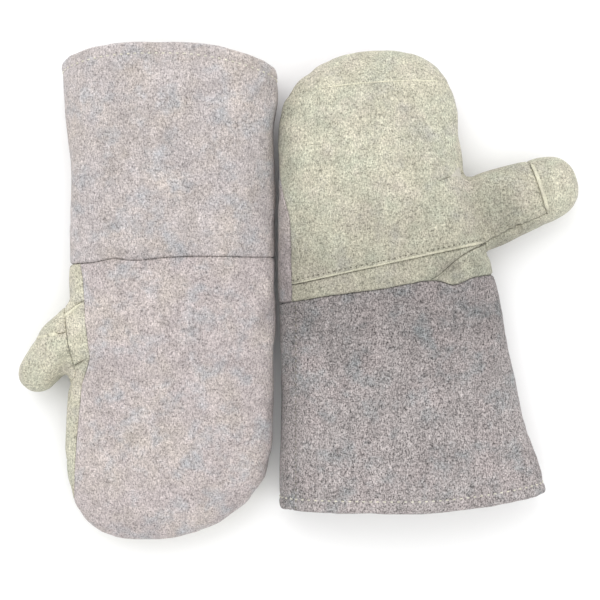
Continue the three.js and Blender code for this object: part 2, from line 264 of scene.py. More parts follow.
RIGHT = Mitt(
    "right",
    1,
    True,
    edges=(-0.016, 0.145),
    thickness=((-0.171, 0.058), (-0.008, 0.052), (0.057, 0.063), (0.121, 0.060)),
    wrist=(-0.010, 0.012),
    wrist_waves=((0.117, 0.010, -0.0045), (0.092, 0.020, 0.0015)),
    heel=(0.002, 0.037),
    heel_turn_up=0.0,
    cap=(0.147, 0.157),
    cap_arch=0.004,
    mouth=(-0.0155, 0.189),
    solid_hem=(-0.171, 0.002, 0.016, 2),
    hem=(-0.1677, 0.0005, 0.0127, 1.5),
    pivot=(0.1305, 0.057),
    thumb_angle=18.0,
    thumb_seam=0.055,
    thumb_seam_back=(0.055, 0.0),
    thumb_middle=0.020,
    root=((0.145, 0.025), (0.126, 0.090)),
    root_half=0.036,
    bend_line=((0.1412, 0.0270), (0.1290, 0.0920)),
    bend_reach=0.036,
    strip=(-0.0235, -0.0165),
    back_wrap=0.60,
    back_fade=(0.045, 0.130),
    palm_wrap=0.76,
    palm_fade=(0.098, 0.153),
    slit=-0.0055,
    gusset_seam=((0.1045, 0.0114), (0.1427, 0.0359)),
    gusset_bow=0.0028,
    edge_seam=None,
    darts=(((0.1275, 0.0910), (0.1030, 0.0812), 1.2),),
    folds=(
        ((0.143, 0.0225), (0.122, 0.0120), 0.0035, 0.0018),
        ((0.141, 0.0285), (0.118, 0.0180), 0.004, -0.0016),
        ((0.128, 0.0890), (0.060, 0.0720), 0.010, -0.0010),
    ),
    puckers=((0.002, 0.044, -0.026, 0.014, 0.0070, 0.0009),),
    # Painted light and shade: areas painted darker by the wrist, on the thumb, along the little-finger edge
    # and in the creases by the heel gusset, and lighter at the thumb tip and on the heel
    painted_shades=(
        ((None, -0.004), 0.060, -0.26),
        ((0.152, 0.072), 0.030, -0.20),
        ((0.203, 0.078), 0.024, 0.12),
        ((0.060, 0.010), 0.024, 0.06),
        ((0.112, 0.0185), 0.009, -0.26),
        ((0.133, 0.0190), 0.005, -0.16),
        ((0.158, 0.0390), 0.011, -0.12),
        ((-0.030, None), 0.026, -0.24),
    ),
    heel_run=(-0.006, 0.141),
    heel_run_back=None,
    cap_run=(0.012, 0.116),
    welts=((True, -0.0155, 0.0235),),
)
LEFT = Mitt(
    "left",
    -1,
    False,
    edges=(0.0185, 0.176),
    thickness=((-0.190, 0.072), (-0.024, 0.050), (0.050, 0.052), (0.117, 0.047)),
    wrist=(-0.025, -0.020),
    wrist_waves=((0.141, 0.011, -0.0024), (0.082, 0.040, -0.0022)),
    heel=(-0.012, 0.009),
    heel_turn_up=0.009,
    cap=(0.124, 0.130),
    cap_arch=0.003,
    mouth=(0.017, 0.181),
    solid_hem=(-0.190, 0.017, 0.016, 3),
    hem=(-0.1847, 0.0151, 0.0107, 3),
    pivot=(0.176, 0.032),
    thumb_angle=55.0,
    thumb_seam=0.026,
    thumb_seam_back=(-0.0012, -1.0),
    thumb_middle=0.018,
    root=((0.1795, 0.014), (0.172, 0.058)),
    root_half=0.023,
    bend_line=((0.1795, 0.0140), (0.1825, 0.1500)),
    bend_reach=0.014,
    strip=None,
    back_wrap=0.72,
    back_fade=(0.105, 0.160),
    palm_wrap=0.62,
    palm_fade=(0.105, 0.160),
    slit=0.0275,
    gusset_seam=None,
    gusset_bow=0.0,
    edge_seam=(
        *((-0.190, 0.1745), (-0.021, 0.1662), (-0.009, 0.1638), (0.0235, 0.1618)),
        *((0.0505, 0.1590), (0.0607, 0.1618), (0.0717, 0.1652), (0.117, 0.1700)),
        (0.190, 0.1760),
    ),
    darts=(((0.1735, 0.0580), (0.1590, 0.0502), 1.2),),
    folds=(
        ((0.1700, 0.0180), (0.1675, 0.0500), 0.0075, 0.0028),
        ((0.1815, 0.0160), (0.1755, 0.0560), 0.0040, -0.0016),
    ),
    puckers=(),
    # Painted light: an area painted lighter over the thumb's bulge
    painted_shades=(((0.168, 0.030), 0.014, 0.10),),
    heel_run=(0.034, 0.160),
    heel_run_back=(0.1640, 0.1785),
    cap_run=(0.040, 0.150),
    welts=((False, -0.0180, -0.0045), (True, -0.0115, 0.0115)),
)
MITTS = (RIGHT, LEFT)


# Mesh helpers


def new_object(name, mesh):
    obj = bpy.data.objects.new(name, mesh)
    bpy.context.scene.collection.objects.link(obj)
    return obj


def applied(obj):
    """Takes the object's modifiers into a new mesh, and the object out of the scene."""
    graph = bpy.context.evaluated_depsgraph_get()
    mesh = bpy.data.meshes.new_from_object(obj.evaluated_get(graph))
    bpy.data.objects.remove(obj)
    return mesh


def read(items, key, size, kind=float):
    out = np.empty(len(items) * size, kind)
    items.foreach_get(key, out)
    return out.reshape(-1, size)


def points_of(mesh):
    return read(mesh.vertices, "co", 3)


def set_points(mesh, co):
    mesh.vertices.foreach_set("co", co.ravel())
    mesh.update()


def edges_of(mesh):
    return read(mesh.edges, "vertices", 2, int)


def smoothed(values, edges, rounds, steps=(SMOOTH_IN, SMOOTH_OUT)):
    """Rounds off small bumps; the outward step keeps the volume."""
    n = len(values)
    near, far = edges[:, 0], edges[:, 1]
    count = np.maximum(np.bincount(edges.ravel(), minlength=n), 1)[:, None]
    for _ in range(rounds):
        for step in steps:
            total = [np.bincount(near, v[far], n) + np.bincount(far, v[near], n) for v in values.T]
            values = values + step * (np.stack(total, axis=1) / count - values)
    return values


def store(mesh, name, values):
    """Keeps a number or a vector for each vertex."""
    kind, key = ("FLOAT", "value") if values.ndim == 1 else ("FLOAT_VECTOR", "vector")
    layer = mesh.attributes.get(name) or mesh.attributes.new(name, kind, "POINT")
    layer.data.foreach_set(key, values.astype(np.float32).ravel())


def stored(mesh, name):
    layer = mesh.attributes[name]
    if layer.data_type == "FLOAT":
        return read(layer.data, "value", 1, np.float32).astype(float).ravel()
    return read(layer.data, "vector", 3, np.float32).astype(float)


def noise_at(points, size, seed):
    """Smooth noise between -1 and 1 with features of that size."""
    shift = Vector((seed * 17.3, seed * 5.1, seed * 9.7))
    return np.array([noise.noise(Vector(p) / size + shift) for p in points])


def tree_of(nodes):
    verts, faces = [], []
    for node in nodes:
        base = len(verts)
        verts += [v.co.copy() for v in node.data.vertices]
        faces += [[base + i for i in f.vertices] for f in node.data.polygons]
    return BVHTree.FromPolygons(verts, faces)


def distances(tree, points):
    return np.array([tree.find_nearest(Vector(p))[3] for p in points])


# Seams as signed distances on a mitt at rest, in its own plan


def along_line(ends, p):
    """Distances along a plan line and to the right of it, and its length."""
    (x0, y0), (x1, y1) = ends
    length = math.hypot(x1 - x0, y1 - y0)
    dx, dy = p[:, 0] - x0, p[:, 1] - y0
    along = (dx * (x1 - x0) + dy * (y1 - y0)) / length
    return along, (dx * (y1 - y0) - dy * (x1 - x0)) / length, length


def middle_of(mitt, y):
    """Height of the widest line of a section, and the thickness above it."""
    top = np.interp(y, *zip(*mitt.thickness, strict=True))
    return WIDEST_SHARE * top, (1 - WIDEST_SHARE) * top


def past_wrist(mitt, p):
    return p[:, 1] - mitt.wrist_height(p[:, 0])


def past_heel(mitt, p):
    return p[:, 1] - mitt.heel_height(p[:, 0])


def past_cap(mitt, p):
    return p[:, 1] - mitt.cap_height(p[:, 0])


def thumb_seam_at(mitt, across, back_share):
    """How far out along the thumb its seam is. It may slant on the back."""
    out, slope = mitt.thumb_seam_back
    return mitt.thumb_seam + back_share * (out + slope * across - mitt.thumb_seam)


def past_thumb_seam(mitt, p):
    along, across = mitt.on_thumb(p)
    facing = facing_palm(mitt, p, mitt.thumb_middle)
    back_share = 1 - ease(facing, -SLANT_REACH, SLANT_REACH)
    return along - thumb_seam_at(mitt, across, back_share)


def past_root(mitt, p):
    """Positive on the thumb, outside the hand's own edge."""
    across = mitt.on_thumb(p)[1]
    return np.minimum(along_line(mitt.root, p)[1], mitt.root_half - np.abs(across))


def past_gusset(mitt, p):
    (x0, _), (x1, _) = mitt.gusset_seam
    share = np.clip((p[:, 0] - x0) / (x1 - x0), 0, 1)
    return along_line(mitt.gusset_seam, p)[1] + mitt.gusset_bow * np.sin(math.pi * share)


def past_dart(dart):
    """A measure for the straight line of one dart."""
    return lambda mitt, p: along_line(dart[:2], p)[1]


def over_dart(mitt, dart, p):
    """Whether points are over the length of a dart, on the top face."""
    along, _, length = along_line(dart[:2], p)
    top = p[:, 2] > middle_of(mitt, p[:, 1])[0]
    return top & (along > -SEAM_BAND / 2) & (along < length + SEAM_BAND / 2)


def past_hem_turn(mitt, p):
    return p[:, 1] - mitt.mouth_height(p[:, 0]) - HEM_TURN


def past_slit(mitt, p):
    return p[:, 0] - mitt.slit


def under_strip(mitt, p):
    return facing_palm(mitt, p, mitt.thumb_middle) + STRIP_DROP


def facing_palm(mitt, p, middle):
    return (p[:, 2] - middle) * (1 if mitt.palm_up else -1)


def palm_side(mitt, p):
    """Positive on the palm fabric: short of the little-finger edge, and past the thumb edge."""
    middle, above = middle_of(mitt, p[:, 1])
    facing = facing_palm(mitt, p, middle)
    palm_reach, back_reach = (above, middle) if mitt.palm_up else (middle, above)
    little_finger = facing - mitt.back_wrap * palm_reach * (1 - ease(p[:, 1], *mitt.back_fade))
    thumb = facing + mitt.palm_wrap * back_reach * (1 - ease(p[:, 1], *mitt.palm_fade))
    if mitt.edge_seam:
        thumb = np.maximum(facing, p[:, 0] - np.interp(p[:, 1], *zip(*mitt.edge_seam, strict=True)))
    return np.where(p[:, 0] < sum(mitt.edges) / 2, little_finger, thumb)


def thumb_palm_side(mitt, p):
    """Positive on the thumb's palm face. A strip along its lower edge belongs to the tip."""
    along, across = mitt.on_thumb(p)
    facing = facing_palm(mitt, p, mitt.thumb_middle)
    if not mitt.strip:
        return facing
    near, far = mitt.strip
    strip = across - near - (far - near) * along / mitt.thumb_seam
    return np.minimum(strip, facing + STRIP_DROP)


# The wall of one mitt, from the frame


def near_hem(mitt, y):
    """Full at the hem, and nothing further up the cuff than the hem's curve is drawn over."""
    return 1 - ease(y, mitt.solid_hem[0], mitt.solid_hem[0] + HEM_REACH)


def merged_wall(mitt):
    """Canvas, batting and lining of the whole mitt as one closed mesh with its hollow open.

    It is meshed with its hem straight, so the hem has no steps, and then bent to the hem's curve.
    """
    bm = bmesh.new()
    for name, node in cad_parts.items():
        if name.startswith(mitt.name) and not name.endswith(TRIM):
            bm.from_mesh(node.data)
    bmesh.ops.remove_doubles(bm, verts=bm.verts, dist=1e-6)
    bm.normal_update()
    for v in bm.verts:
        v.co += v.normal * LAYER_GROWTH
    mesh = bpy.data.meshes.new(mitt.name)
    bm.to_mesh(mesh)
    bm.free()
    points = mitt.local(points_of(mesh))
    rise = mitt.solid_mouth_height(points[:, 0]) - mitt.solid_hem[0]
    flat = points[:, 1].copy()
    for _ in range(HEM_ROUNDS):
        flat = points[:, 1] - rise * near_hem(mitt, flat)
    set_points(mesh, mitt.local(np.column_stack([points[:, 0], flat, points[:, 2]])))
    obj = new_object(mitt.name, mesh)
    remesh = obj.modifiers.new("merge", "REMESH")
    remesh.mode, remesh.voxel_size = "VOXEL", VOXEL
    wall = applied(obj)
    points = mitt.local(smoothed(points_of(wall), edges_of(wall), SMOOTH_ROUNDS))
    rise = mitt.mouth_height(points[:, 0]) - mitt.solid_hem[0]
    points[:, 1] += rise * near_hem(mitt, points[:, 1])
    set_points(wall, mitt.local(points))
    return wall


def lining_share(mitt, points):
    """Positive where a point of the wall is nearer to the lining than to the canvas."""
    nodes = [(n, o) for n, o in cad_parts.items() if n.startswith(mitt.name)]
    lining = tree_of([o for n, o in nodes if n.endswith("_lining")])
    canvas = tree_of([o for n, o in nodes if not n.endswith(("_lining", "_batting", *TRIM))])
    return distances(canvas, points) - distances(lining, points)


def seam_nearness(mitt, rest, inside):
    """Distance to the nearest seam that holds the padding down."""
    palm = palm_side(mitt, rest)
    root = past_root(mitt, rest)
    wrist = past_wrist(mitt, rest)
    hand = (wrist > 0) & (inside <= 0)
    near = [
        np.where(inside > 0, FAR, np.abs(wrist)),
        np.where(hand & (root < 0), np.abs(palm), FAR),
        np.where(hand & (palm > 0), np.abs(past_heel(mitt, rest)), FAR),
        np.where(hand & (palm > 0), np.abs(past_cap(mitt, rest)), FAR),
        np.where(hand & (root > 0), np.abs(past_thumb_seam(mitt, rest)), FAR),
        np.maximum(past_hem_turn(mitt, rest), 0),
    ]
    return np.min(near, axis=0)


def puffed(mitt, wall, rest, inside):
    """Blows up the padding between the seams with a cloth simulation, up to a limit."""
    obj = new_object(mitt.name, wall.copy())
    pins = obj.vertex_groups.new(name="seams")
    held = np.round(1 - ease(seam_nearness(mitt, rest, inside), 0, PIN_REACH), 1)
    for level in np.unique(held):
        pins.add(np.flatnonzero(held == level).tolist(), float(level), "REPLACE")
    cloth = obj.modifiers.new("puff", "CLOTH")
    for key, value in CLOTH.items():
        setattr(cloth.settings, key, value)
    cloth.settings.effector_weights.gravity = 0
    cloth.settings.vertex_group_mass = "seams"
    cloth.collision_settings.use_collision = False
    cloth.point_cache.frame_start, cloth.point_cache.frame_end = 1, PUFF_FRAMES
    for number in range(1, PUFF_FRAMES + 1):
        bpy.context.scene.frame_set(number)
    blown = points_of(applied(obj))
    bpy.context.scene.frame_set(1)
    move = blown - points_of(wall)
    length = np.maximum(np.linalg.norm(move, axis=1, keepdims=True), 1e-9)
    move *= PUFF_LIMIT * np.tanh(length / PUFF_LIMIT) / length
    return points_of(wall) + smoothed(move, edges_of(wall), 2, (SMOOTH_IN,))


# Cutting the outer fabric at its seams


def joined(a, b):
    return any(edge.other_vert(a) == b for edge in a.link_edges)


def cut(bm, mitt, measure, where, offsets):
    """Splits the faces that cross each offset of a seam measure, where the fabric is kept."""
    rest = bm.verts.layers.float_vector["rest"]
    inside = bm.verts.layers.float["inside"]
    verts = list(bm.verts)
    points = np.array([v[rest] for v in verts])
    near = np.abs(measure(mitt, points)) < SEAM_BAND
    near &= where(points, np.array([v[inside] for v in verts]))
    band = [v for v, keep in zip(verts, near, strict=True) if keep]
    for offset in offsets:
        values = measure(mitt, np.array([v[rest] for v in band])) - offset
        values[np.abs(values) < SNAP] = 0
        value = dict(zip(band, values.tolist(), strict=True))
        for edge in dict.fromkeys(e for v in band for e in v.link_edges):
            near_end, far_end = (value.get(v, 0) for v in edge.verts)
            if near_end * far_end < 0:
                share = near_end / (near_end - far_end)
                made = bmesh.utils.edge_split(edge, edge.verts[0], share)[1]
                value[made] = 0
                band.append(made)
        on_line = [v for v in band if value[v] == 0]
        for face in dict.fromkeys(f for v in on_line for f in v.link_faces):
            ends = [v for v in face.verts if value.get(v, 1) == 0]
            if len(ends) == 2 and not joined(*ends):
                bmesh.utils.face_split(face, *ends)


def cut_pieces(bm, mitt):
    """Every seam of the outer fabric, with a few edge loops beside it for its rolled edges."""

    def hand(p, inside):
        return (past_wrist(mitt, p) > -SEAM_BAND) & (inside < 0)

    def off_thumb(p, inside):
        return hand(p, inside) & (past_root(mitt, p) < SEAM_BAND)

    def palm(p, inside):
        return off_thumb(p, inside) & (palm_side(mitt, p) > -SEAM_BAND)

    def thumb(p, inside):
        return hand(p, inside) & (past_root(mitt, p) > -SEAM_BAND)

    def thumb_back(p, inside):
        return thumb(p, inside) & (thumb_palm_side(mitt, p) < SEAM_BAND)

    def heel(p, inside):
        return palm(p, inside) & (past_heel(mitt, p) < SEAM_BAND)

    def beside_dart(dart):
        return lambda p, inside: over_dart(mitt, dart, p) & (inside < 0)

    def cuff_palm(p, inside):
        facing = facing_palm(mitt, p, middle_of(mitt, p[:, 1])[0])
        return (past_wrist(mitt, p) < SEAM_BAND) & (inside < 0) & (facing > 0)

    for measure, where in (
        (past_wrist, lambda p, inside: inside < 0),
        (palm_side, off_thumb),
        (past_heel, palm),
        (past_cap, palm),
        (past_root, thumb_back),
        (past_thumb_seam, thumb),
        (thumb_palm_side, thumb),
        (past_slit, cuff_palm),
    ):
        cut(bm, mitt, measure, where, SEAM_LOOPS)
    if mitt.strip:
        cut(bm, mitt, under_strip, thumb_back, (0.0,))
    if mitt.gusset_seam:
        cut(bm, mitt, past_gusset, heel, SEAM_LOOPS)
    for dart in mitt.darts:
        cut(bm, mitt, past_dart(dart), beside_dart(dart), SEAM_LOOPS)


def piece_names(mitt, p, inside):
    """The fabric piece that each point of the outer surface is on."""
    names = np.full(len(p), "back_panel", object)
    on_palm = palm_side(mitt, p) > 0
    on_heel = on_palm & (past_heel(mitt, p) < 0)
    names[on_palm] = "palm_panel"
    names[on_palm & (past_cap(mitt, p) > 0)] = "fingertip_cap"
    names[on_heel] = "heel_band"
    if mitt.gusset_seam:
        names[on_heel & (past_gusset(mitt, p) > 0)] = "heel_gusset"
    thumb = past_root(mitt, p) > 0
    front = thumb_palm_side(mitt, p) > 0
    names[thumb] = "thumb_gusset"
    if mitt.strip:
        names[thumb & ~front & (under_strip(mitt, p) > 0)] = "thumb_tip_cap"
    names[thumb & front] = "palm_panel"
    names[thumb & (past_thumb_seam(mitt, p) > 0)] = "thumb_tip_cap"
    names[(past_wrist(mitt, p) < 0) | (inside > 0)] = "cuff_shell"
    return names


def seam_points(bm, mitt, names):
    """Points along every seam, close together, each with how strongly it is pulled in."""
    rest = bm.verts.layers.float_vector["rest"]
    found = []
    for edge in bm.edges:
        if len(edge.link_faces) != 2:
            continue
        ends = np.array([v[rest] for v in edge.verts])
        pair = frozenset(names[f.index] for f in edge.link_faces)
        on_slit = np.abs(past_slit(mitt, ends)).max() < 2 * SNAP
        slit = on_slit and (past_wrist(mitt, ends) < 0).all()
        facing = facing_palm(mitt, ends, middle_of(mitt, ends[:, 1])[0])
        if len(pair) == 2 or (slit and (facing > 0).all()):
            strength = SLIT_STRENGTH if len(pair) == 1 else SEAM_STRENGTH.get(pair, 1.0)
            a, b = (np.array(v.co) for v in edge.verts)
            steps = max(1, round(np.linalg.norm(b - a) / SEAM_SAMPLE))
            found += [(a + (b - a) * i / steps, strength) for i in range(steps)]
    return found


def dart_points(mitt, surface):
    """A dart is a short seam that fades out: strong at its first end, gone at its last."""
    found = []
    for start, end, strength in mitt.darts:
        count = round(math.dist(start, end) / SEAM_SAMPLE) + 1
        for t, (x, y) in zip(np.linspace(0, 1, count), np.linspace(start, end, count), strict=True):
            hit = surface.ray_cast(mitt.to_frame(x, y, HIGH), DOWN)[0]
            if hit:
                found.append((np.array(hit), strength * (1 - t**2)))
    return found


def seam_field(points, co):
    """For each vertex, the distance to the nearest seam and that seam's strength."""
    tree = KDTree(len(points))
    for i, (point, _) in enumerate(points):
        tree.insert(point, i)
    tree.balance()
    found = [tree.find(p) for p in co]
    return np.array([f[2] for f in found]), np.array([points[f[1]][1] for f in found])


# Shape of the outer fabric: soft unevenness, puckers, folds, and the seams themselves


def folds(mitt, rest):
    """Height of the soft folds and puckers that are particular to one mitt."""
    height = np.zeros(len(rest))
    up = rest[:, 2] > middle_of(mitt, rest[:, 1])[0]
    for *ends, width, rise in mitt.folds:
        along, off, length = along_line(ends, rest)
        window = ease(along, -width, width) * (1 - ease(along, length - width, length + width))
        height += up * rise * window * gauss(off, 0, width)
    along, across = mitt.on_thumb(rest)
    for start, end, low, high, pitch, rise in mitt.puckers:
        window = ease(along, start, start + pitch) * (1 - ease(along, end - pitch, end))
        window *= ease(across, low, low + pitch) * (1 - ease(across, high - 2 * pitch, high))
        wander = WANDER_SLANT * across + WANDER_HEIGHT * noise_at(rest, WANDER_SIZE, SEED + 5)
        height += up * rise * window * np.sin(2 * math.pi * (along + wander) / pitch)
    return height


def shaped(mitt, outer, rest, inside, seams):
    """The points of the outer fabric, moved along their normals."""
    distance, strength = seam_field(seams, points_of(outer))
    height = sum(swell * noise_at(rest, size, SEED + i) for i, (swell, size) in enumerate(SWELLS))
    near = np.exp(-distance / PUCKER_REACH) * strength
    height += near * PUCKER_HEIGHT * noise_at(rest, PUCKER_SIZE, SEED + 3)
    height += folds(mitt, rest)
    hem = past_hem_turn(mitt, rest)
    height -= HEM_GROOVE * gauss(hem, 0, HEM_GROOVE_WIDTH) * (inside < 0)
    height += HEM_FOLD * (1 - ease(hem, -HEM_FOLD_EASE, 0)) * (inside < 0)
    lip = past_heel(mitt, rest)
    on_palm = (inside < 0) & (palm_side(mitt, rest) > 0) & (past_root(mitt, rest) < 0)
    lip_share = ease(lip, 0, LIP_EASE) * (1 - ease(lip, HEEL_ROW - LIP_EASE, HEEL_ROW))
    height += on_palm * LIP_HEIGHT * lip_share
    roll = np.clip(1 - distance / SEAM_WIDTH, 0, 1) ** 2
    soft = SOFT_DEPTH * np.exp(-((distance / SOFT_WIDTH) ** 2))
    depth = SEAM_DEPTH * (1 + DEPTH_CHANGE * noise_at(rest, DEPTH_CHANGE_SIZE, SEED + 4))
    height -= strength * (depth * roll + soft) * (inside < 0)
    co = points_of(outer) + read(outer.vertices, "normal", 3) * height[:, None]
    co[:, 2] = np.maximum(co[:, 2], REST_HEIGHT)
    return co


def bmesh_of(mesh):
    bm = bmesh.new()
    bm.from_mesh(mesh)
    return bm


def mesh_of(bm, name):
    mesh = bpy.data.meshes.new(name)
    bm.to_mesh(mesh)
    bm.free()
    return mesh


def face_values(mesh, values):
    """Mean of a vertex array over each face."""
    return np.array([values[list(f.vertices)].mean(axis=0) for f in mesh.polygons])


def painted_shading_at(mitt, rest):
    """Painted light and shade: even, apart from a few broad areas painted darker or lighter."""
    painted_shading = np.ones(len(rest))
    for middle, width, change in mitt.painted_shades:
        off = [rest[:, axis] - m for axis, m in enumerate(middle) if m is not None]
        painted_shading += change * np.exp(-sum(d**2 for d in off) / width**2)
    return painted_shading


def mark(mesh, mitt, rest):
    """Stores what the materials read: where the fabric lay when it was cut, and its painted light and shade.
    """
    store(mesh, "rest", rest)
    store(mesh, "painted_shading", painted_shading_at(mitt, rest))


def part_of(mesh, keep, name):
    """A new mesh of the faces kept, with what is stored for their vertices."""
    faces = [f.vertices[:] for f, k in zip(mesh.polygons, keep, strict=True) if k]
    used = np.unique(np.concatenate([np.array(f) for f in faces]))
    index = np.full(len(mesh.vertices), -1)
    index[used] = np.arange(len(used))
    part = bpy.data.meshes.new(name)
    part.from_pydata(points_of(mesh)[used].tolist(), [], [index[list(f)].tolist() for f in faces])
    for kept in ("rest", "inside", "painted_shading"):
        if kept in mesh.attributes:
            store(part, kept, stored(mesh, kept)[used])
    return part


def modified(mesh, kind, **settings):
    """The mesh after one modifier."""
    obj = new_object(mesh.name, mesh)
    modifier = obj.modifiers.new(kind, kind)
    for key, value in settings.items():
        setattr(modifier, key, value)
    return applied(obj)


def thick(mesh, thickness):
    return modified(mesh, "SOLIDIFY", thickness=thickness, offset=-1, use_rim=True)


def make_surfaces(mitt):
    """The outer fabric with its piece names, and the liner, both from one puffed wall."""
    wall = merged_wall(mitt)
    rest = mitt.local(points_of(wall))
    inside = lining_share(mitt, points_of(wall))
    store(wall, "rest", rest)
    store(wall, "inside", inside)
    set_points(wall, puffed(mitt, wall, rest, inside))
    bm = bmesh_of(wall)
    cut(bm, mitt, past_hem_turn, lambda p, inside: inside > 0, (0.0,))
    wall = mesh_of(bm, mitt.name)
    rest, inside = stored(wall, "rest"), stored(wall, "inside")
    is_liner = (face_values(wall, inside) > 0) & (face_values(wall, past_hem_turn(mitt, rest)) > 0)
    liner = part_of(wall, is_liner, "liner")
    outer = modified(part_of(wall, ~is_liner, "outer"), "SUBSURF", levels=1, render_levels=1)
    bm = bmesh_of(outer)
    cut_pieces(bm, mitt)
    bm.normal_update()
    bm.faces.index_update()
    outer = mesh_of(bm, "outer")
    rest, inside = stored(outer, "rest"), stored(outer, "inside")
    names = piece_names(mitt, face_values(outer, rest), face_values(outer, inside))
    bm = bmesh_of(outer)
    bm.faces.ensure_lookup_table()
    surface = BVHTree.FromBMesh(bm)
    seams = seam_points(bm, mitt, names) + dart_points(mitt, surface)
    bm.free()
    set_points(outer, shaped(mitt, outer, rest, inside, seams))
    mark(outer, mitt, rest)
    mark(liner, mitt, stored(liner, "rest"))
    return outer, names, liner


# Fabric pieces


def turn_zone(mitt, ends, reach):
    """Fabric across a joint turns from the middle of this plan line to a point on its right."""
    (x0, y0), (x1, y1) = ends
    length = math.hypot(x1 - x0, y1 - y0)
    x, y = (x0 + x1) / 2, (y0 + y1) / 2
    out = ((y1 - y0) / length * reach, (x0 - x1) / length * reach)
    return mitt.to_frame(x, y), mitt.to_frame(x + out[0], y + out[1])


def fasten(mitt, obj, moves):
    if moves == "wrist":
        heel_line = list(zip(mitt.edges, mitt.heel, strict=True))
        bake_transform(obj, mitt.hand, mitt.cuff, *turn_zone(mitt, heel_line, WRIST_REACH))
    elif moves == "thumb root":
        zone = turn_zone(mitt, mitt.bend_line, mitt.bend_reach)
        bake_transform(obj, mitt.hand, mitt.thumb, *zone)
    else:
        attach(obj, f"{mitt.name}_{moves}")


def finish_piece(mitt, obj, moves, kind, nodes):
    obj.data.materials.clear()
    obj.data.materials.append(MATERIALS[kind])
    obj.data.shade_smooth()
    if nodes:
        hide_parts(*[f"{mitt.name}_{n}" for n in nodes])
    fasten(mitt, obj, moves)
    return obj


def add_canvas(mitt, outer, names):
    for name, (moves, kind, nodes) in CANVAS_PIECES.items():
        keep = names == name
        if not keep.any():
            continue
        obj = new_object(f"{mitt.name}_{name}_fabric", thick(part_of(outer, keep, name), CANVAS))
        shade = f"{mitt.name}_{kind}" if kind == "cuff" else kind
        finish_piece(mitt, obj, moves, shade, nodes)


def add_liner(mitt, liner):
    rest = stored(liner, "rest")
    in_thumb = face_values(liner, past_root(mitt, rest)) > 0
    for name, keep in (("liner", ~in_thumb), ("thumb_liner", in_thumb)):
        moves, nodes = LINER_PIECES[name]
        obj = new_object(f"{mitt.name}_{name}", thick(part_of(liner, keep, name), LINER))
        finish_piece(mitt, obj, moves, "lining", nodes)


# Stitches, welts and threads on the outer fabric


class Surface:
    """The finished outer fabric of a mitt, for placing trim on."""

    def __init__(self, mitt, mesh):
        self.mitt = mitt
        faces = [f.vertices[:] for f in mesh.polygons]
        self.tree = BVHTree.FromPolygons(points_of(mesh).tolist(), faces)

    def at(self, x, y, palm=True):
        """The point and normal over a plan point, on the palm face or the back."""
        height, way = (HIGH, DOWN) if self.mitt.palm_up == palm else (-HIGH, -DOWN)
        return self.tree.ray_cast(self.mitt.to_frame(x, y, height), way)[:2]

    def round(self, angle, line):
        """The point and normal on a section round the cuff, where line gives the height at x."""
        near, far = self.mitt.mouth
        middle, half = (near + far) / 2, (far - near) / 2
        across, up = math.cos(angle), math.sin(angle)
        x = middle + half * across
        for _ in range(ROUND_TRIES):
            start = self.mitt.to_frame(middle + across * HIGH * 2, line(x), CUFF_MIDDLE + up * HIGH)
            end = self.mitt.to_frame(middle + across * half / 2, line(x), CUFF_MIDDLE)
            hit, normal = self.tree.ray_cast(start, (end - start).normalized())[:2]
            if hit is None:
                return None, None
            x = hit.x * self.mitt.sign
        return hit, normal


def resampled(path, pitch):
    """Points and normals at an even pitch along a path of (point, normal)."""
    path = [(p, n) for p, n in path if p is not None]
    points = np.array([p for p, _ in path])
    normals = np.array([n for _, n in path])
    along = np.concatenate([[0], np.cumsum(np.linalg.norm(np.diff(points, axis=0), axis=1))])
    at = np.arange(pitch / 2, along[-1], pitch)
    points = np.stack([np.interp(at, along, c) for c in points.T], axis=1)
    normals = np.stack([np.interp(at, along, c) for c in normals.T], axis=1)
    tangents = np.gradient(points, axis=0)
    tangents /= np.linalg.norm(tangents, axis=1, keepdims=True)
    normals -= tangents * (normals * tangents).sum(axis=1, keepdims=True)
    normals /= np.linalg.norm(normals, axis=1, keepdims=True)
    return points, normals, tangents


def tube_from_rings(rings):
    """Vertices and faces of a closed tube over rings of points: (ring, corner, xyz)."""
    count, corners = rings.shape[:2]
    faces = []
    for here in range(0, (count - 1) * corners, corners):
        there = here + corners
        for j in range(corners):
            k = (j + 1) % corners
            faces.append((here + j, here + k, there + k, there + j))
    faces.append(tuple(range(corners))[::-1])
    faces.append(tuple((count - 1) * corners + j for j in range(corners)))
    return rings.reshape(-1, 3), faces


def trim_mesh(mitt, verts, faces):
    mesh = bpy.data.meshes.new("trim")
    mesh.from_pydata(verts.tolist(), [], faces)
    mark(mesh, mitt, mitt.local(points_of(mesh)))
    return mesh


def stitch_mesh(mitt, path, pitch, length, radius, lift):
    """A row of sewn stitches: one plump bead of thread for each."""
    points, normals, tangents = resampled(path, pitch)
    sides = np.cross(normals, tangents)
    verts, faces = [], []
    turn = np.arange(STITCH_CORNERS) * 2 * math.pi / STITCH_CORNERS
    for i, (p, n, t, s) in enumerate(zip(points, normals, tangents, sides, strict=True)):
        lean = STITCH_LEAN * math.sin(STITCH_LEAN_STEP * i)
        t = t * math.cos(lean) + s * math.sin(lean)
        rings = []
        for share in STITCH_RINGS:
            size = radius * math.sqrt(max(0.0, 1 - abs(share) ** 3))
            sag = lift - radius * STITCH_SAG * share**2
            ring = p + t * share * length / 2 + n * sag + np.outer(np.cos(turn), n) * size
            rings.append(ring + np.outer(np.sin(turn), np.cross(n, t)) * size)
        made, made_faces = tube_from_rings(np.array(rings))
        base = len(verts) * STITCH_CORNERS * len(STITCH_RINGS)
        verts.append(made)
        faces += [tuple(base + k for k in f) for f in made_faces]
    return trim_mesh(mitt, np.concatenate(verts), faces)


